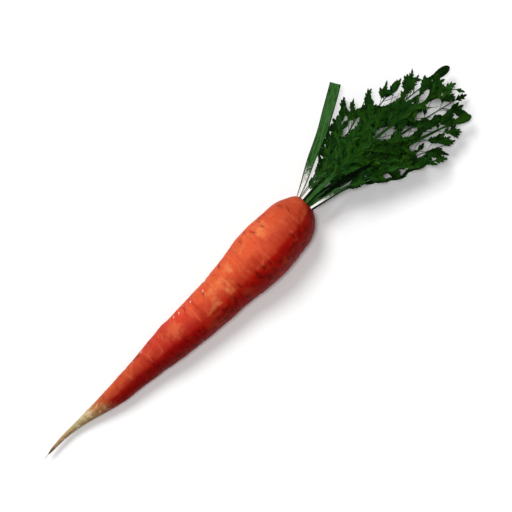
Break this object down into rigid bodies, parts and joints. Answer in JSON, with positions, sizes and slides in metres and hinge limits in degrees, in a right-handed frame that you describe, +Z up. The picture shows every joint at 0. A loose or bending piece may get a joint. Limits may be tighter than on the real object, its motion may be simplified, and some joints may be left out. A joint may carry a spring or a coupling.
{
  "type": "carrot with leaves",
  "caption": "Fresh orange carrot lying on its side, with a tapering tail, a clipped leaf stalk and a spray of cut-leaved green fronds.",
  "frame": {"origin": "middle of the flat spot under the root that it rests on", "axes": "+X along the root from its tail to its leaves, +Z up from the surface, +Y towards the side with the clipped leaf stalk"},
  "size_m": [0.324, 0.079, 0.0336],
  "materials": {
    "root_skin": "satin",
    "leaf_green": "matte",
    "stalk_green": "satin"
  },
  "bodies": {
    "root": {"taproot": "root_skin", "clipped_stalk": "stalk_green", "frond_01": "leaf_green", "frond_02": "leaf_green", "frond_03": "leaf_green", "frond_04": "leaf_green", "frond_05": "leaf_green", "frond_06": "leaf_green", "frond_07": "leaf_green", "frond_08": "leaf_green", "frond_09": "leaf_green", "frond_10": "leaf_green"}
  },
  "joints": []
}
